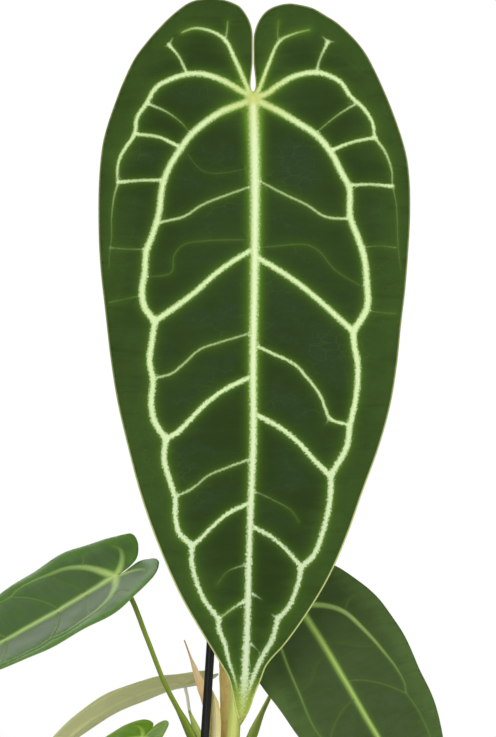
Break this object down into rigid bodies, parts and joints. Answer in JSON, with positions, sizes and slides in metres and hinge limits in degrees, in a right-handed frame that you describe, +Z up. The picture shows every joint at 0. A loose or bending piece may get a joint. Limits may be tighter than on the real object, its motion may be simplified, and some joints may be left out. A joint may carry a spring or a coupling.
{
  "type": "potted queen anthurium",
  "caption": "House plant with long heart-shaped leaves and pale raised veins on petioles that rise from one short stem, staked, in a plain round pot.",
  "frame": {"origin": "centre of the pot's flat foot, on the surface that the pot stands on", "axes": "+Z up along the pot's axis; the tallest leaf faces -Y, with its tip down; +X to the right as seen from its face"},
  "size_m": [0.3244, 0.157, 0.5944],
  "materials": {
    "pot_plastic": "satin",
    "bark_mix": "matte",
    "stem_bark": "matte",
    "stake_plastic": "satin",
    "tie_rubber": "matte",
    "petiole_green": "satin",
    "dry_bract": "matte",
    "fresh_bract": "satin",
    "velvet_leaf": "matte",
    "olive_leaf": "matte",
    "young_leaf": "satin"
  },
  "bodies": {
    "root": {"pot": "pot_plastic", "potting_mix": "bark_mix", "stem": "stem_bark", "stake": "stake_plastic", "tie_lower": "tie_rubber", "tie_upper": "tie_rubber", "main_petiole": "petiole_green", "left_petiole": "petiole_green", "right_petiole": "petiole_green", "arched_petiole": "petiole_green", "young_petiole": "petiole_green", "bract_tall": "dry_bract", "bract_middle": "dry_bract", "bract_short": "dry_bract", "bract_green": "fresh_bract", "main_leaf": "velvet_leaf", "left_leaf": "velvet_leaf", "right_leaf": "velvet_leaf", "arched_leaf": "olive_leaf", "young_leaf": "young_leaf"}
  },
  "joints": []
}
